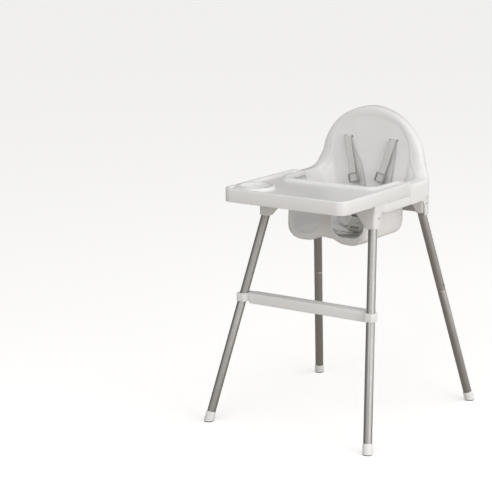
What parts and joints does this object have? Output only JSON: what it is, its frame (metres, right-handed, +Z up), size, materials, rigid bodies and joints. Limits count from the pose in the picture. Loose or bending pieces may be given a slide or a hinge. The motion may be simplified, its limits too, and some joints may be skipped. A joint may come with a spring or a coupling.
{
  "type": "baby high chair",
  "caption": "Moulded baby high chair: bucket seat with arched back and leg openings, lift-off tray with cup holder, harness, footrest, splayed tube legs in plug-in sections.",
  "frame": {"origin": "on the floor, at the middle of the outline box of the whole chair", "axes": "+Z up, -Y the way the child faces, +X to the right of someone who looks at the chair from its front"},
  "size_m": [0.567, 0.6605, 0.9],
  "materials": {
    "shell_plastic": "satin moulded polypropylene",
    "tray_plastic": "soft gloss moulded polypropylene",
    "cap_plastic": "satin",
    "tube_steel": "satin silver",
    "spring_steel": "bare spring steel",
    "foot_rubber": "matte",
    "webbing": "woven webbing",
    "buckle_plastic": "satin"
  },
  "bodies": {
    "seat": {"seat_shell": "shell_plastic", "footrest_board": "shell_plastic", "footrest_sleeve_left": "cap_plastic", "footrest_sleeve_right": "cap_plastic", "shoulder_strap_left": "webbing", "shoulder_strap_right": "webbing", "shoulder_return_left": "webbing", "shoulder_return_right": "webbing", "waist_strap_left": "webbing", "waist_strap_right": "webbing", "crotch_strap": "webbing", "buckle_body": "buckle_plastic", "tongue_left": "buckle_plastic", "tongue_right": "buckle_plastic", "shoulder_anchor_left": "buckle_plastic", "shoulder_anchor_right": "buckle_plastic", "waist_anchor_left": "buckle_plastic", "waist_anchor_right": "buckle_plastic", "crotch_anchor": "shell_plastic"},
    "tray": {"tray": "tray_plastic"},
    "slider_left": {"slider_left": "buckle_plastic"},
    "slider_right": {"slider_right": "buckle_plastic"},
    "buckle_button": {"buckle_button": "buckle_plastic"},
    "upper_leg_front_left": {"upper_tube_front_left": "tube_steel", "socket_spring_front_left": "spring_steel"},
    "lower_leg_front_left": {"lower_tube_front_left": "tube_steel", "joint_spring_front_left": "spring_steel", "foot_cap_front_left": "cap_plastic", "foot_pad_front_left": "foot_rubber"},
    "socket_button_front_left": {"socket_button_front_left": "tube_steel"},
    "joint_button_front_left": {"joint_button_front_left": "tube_steel"},
    "upper_leg_front_right": {"upper_tube_front_right": "tube_steel", "socket_spring_front_right": "spring_steel"},
    "lower_leg_front_right": {"lower_tube_front_right": "tube_steel", "joint_spring_front_right": "spring_steel", "foot_cap_front_right": "cap_plastic", "foot_pad_front_right": "foot_rubber"},
    "socket_button_front_right": {"socket_button_front_right": "tube_steel"},
    "joint_button_front_right": {"joint_button_front_right": "tube_steel"},
    "upper_leg_rear_left": {"upper_tube_rear_left": "tube_steel", "socket_spring_rear_left": "spring_steel"},
    "lower_leg_rear_left": {"lower_tube_rear_left": "tube_steel", "joint_spring_rear_left": "spring_steel", "foot_cap_rear_left": "cap_plastic", "foot_pad_rear_left": "foot_rubber"},
    "socket_button_rear_left": {"socket_button_rear_left": "tube_steel"},
    "joint_button_rear_left": {"joint_button_rear_left": "tube_steel"},
    "upper_leg_rear_right": {"upper_tube_rear_right": "tube_steel", "socket_spring_rear_right": "spring_steel"},
    "lower_leg_rear_right": {"lower_tube_rear_right": "tube_steel", "joint_spring_rear_right": "spring_steel", "foot_cap_rear_right": "cap_plastic", "foot_pad_rear_right": "foot_rubber"},
    "socket_button_rear_right": {"socket_button_rear_right": "tube_steel"},
    "joint_button_rear_right": {"joint_button_rear_right": "tube_steel"}
  },
  "joints": [
    {"name": "tray_lift", "type": "slide", "parent": "seat", "child": "tray", "axis": [0, 0, 1], "range_m": [0, 0.12]},
    {"name": "slider_left_slide", "type": "slide", "parent": "seat", "child": "slider_left", "axis": [-0.2841, 0.1793, 0.9419], "range_m": [0, 0.06]},
    {"name": "slider_right_slide", "type": "slide", "parent": "seat", "child": "slider_right", "axis": [0.2505, 0.1891, 0.9495], "range_m": [0, 0.06]},
    {"name": "buckle_press", "type": "slide", "parent": "seat", "child": "buckle_button", "axis": [0, 0.6947, -0.7193], "range_m": [0, 0.0025], "stiffness_N_per_m": 600},
    {"name": "upper_leg_front_left_slide", "type": "slide", "parent": "seat", "child": "upper_leg_front_left", "axis": [-0.1423, -0.2639, -0.954], "range_m": [0, 0.065], "deforming": ["socket_spring_front_left", "socket_button_front_left"]},
    {"name": "lower_leg_front_left_slide", "type": "slide", "parent": "upper_leg_front_left", "child": "lower_leg_front_left", "axis": [-0.1423, -0.2639, -0.954], "range_m": [0, 0.065], "deforming": ["joint_spring_front_left", "joint_button_front_left"]},
    {"name": "socket_button_front_left_press", "type": "slide", "parent": "upper_leg_front_left", "child": "socket_button_front_left", "axis": [0.9898, -0.0379, -0.1372], "range_m": [0, 0.0034], "stiffness_N_per_m": 800},
    {"name": "joint_button_front_left_press", "type": "slide", "parent": "lower_leg_front_left", "child": "joint_button_front_left", "axis": [0, -0.9638, 0.2666], "range_m": [0, 0.0035], "stiffness_N_per_m": 800},
    {"name": "upper_leg_front_right_slide", "type": "slide", "parent": "seat", "child": "upper_leg_front_right", "axis": [0.1423, -0.2639, -0.954], "range_m": [0, 0.065], "deforming": ["socket_spring_front_right", "socket_button_front_right"]},
    {"name": "lower_leg_front_right_slide", "type": "slide", "parent": "upper_leg_front_right", "child": "lower_leg_front_right", "axis": [0.1423, -0.2639, -0.954], "range_m": [0, 0.065], "deforming": ["joint_spring_front_right", "joint_button_front_right"]},
    {"name": "socket_button_front_right_press", "type": "slide", "parent": "upper_leg_front_right", "child": "socket_button_front_right", "axis": [-0.9898, -0.0379, -0.1372], "range_m": [0, 0.0034], "stiffness_N_per_m": 800},
    {"name": "joint_button_front_right_press", "type": "slide", "parent": "lower_leg_front_right", "child": "joint_button_front_right", "axis": [0, -0.9638, 0.2666], "range_m": [0, 0.0035], "stiffness_N_per_m": 800},
    {"name": "upper_leg_rear_left_slide", "type": "slide", "parent": "seat", "child": "upper_leg_rear_left", "axis": [-0.1423, 0.2639, -0.954], "range_m": [0, 0.065], "deforming": ["socket_spring_rear_left", "socket_button_rear_left"]},
    {"name": "lower_leg_rear_left_slide", "type": "slide", "parent": "upper_leg_rear_left", "child": "lower_leg_rear_left", "axis": [-0.1423, 0.2639, -0.954], "range_m": [0, 0.065], "deforming": ["joint_spring_rear_left", "joint_button_rear_left"]},
    {"name": "socket_button_rear_left_press", "type": "slide", "parent": "upper_leg_rear_left", "child": "socket_button_rear_left", "axis": [0.9898, 0.0379, -0.1372], "range_m": [0, 0.0034], "stiffness_N_per_m": 800},
    {"name": "joint_button_rear_left_press", "type": "slide", "parent": "lower_leg_rear_left", "child": "joint_button_rear_left", "axis": [0.9898, 0.0379, -0.1372], "range_m": [0, 0.0035], "stiffness_N_per_m": 800},
    {"name": "upper_leg_rear_right_slide", "type": "slide", "parent": "seat", "child": "upper_leg_rear_right", "axis": [0.1423, 0.2639, -0.954], "range_m": [0, 0.065], "deforming": ["socket_spring_rear_right", "socket_button_rear_right"]},
    {"name": "lower_leg_rear_right_slide", "type": "slide", "parent": "upper_leg_rear_right", "child": "lower_leg_rear_right", "axis": [0.1423, 0.2639, -0.954], "range_m": [0, 0.065], "deforming": ["joint_spring_rear_right", "joint_button_rear_right"]},
    {"name": "socket_button_rear_right_press", "type": "slide", "parent": "upper_leg_rear_right", "child": "socket_button_rear_right", "axis": [-0.9898, 0.0379, -0.1372], "range_m": [0, 0.0034], "stiffness_N_per_m": 800},
    {"name": "joint_button_rear_right_press", "type": "slide", "parent": "lower_leg_rear_right", "child": "joint_button_rear_right", "axis": [-0.9898, 0.0379, -0.1372], "range_m": [0, 0.0035], "stiffness_N_per_m": 800}
  ]
}
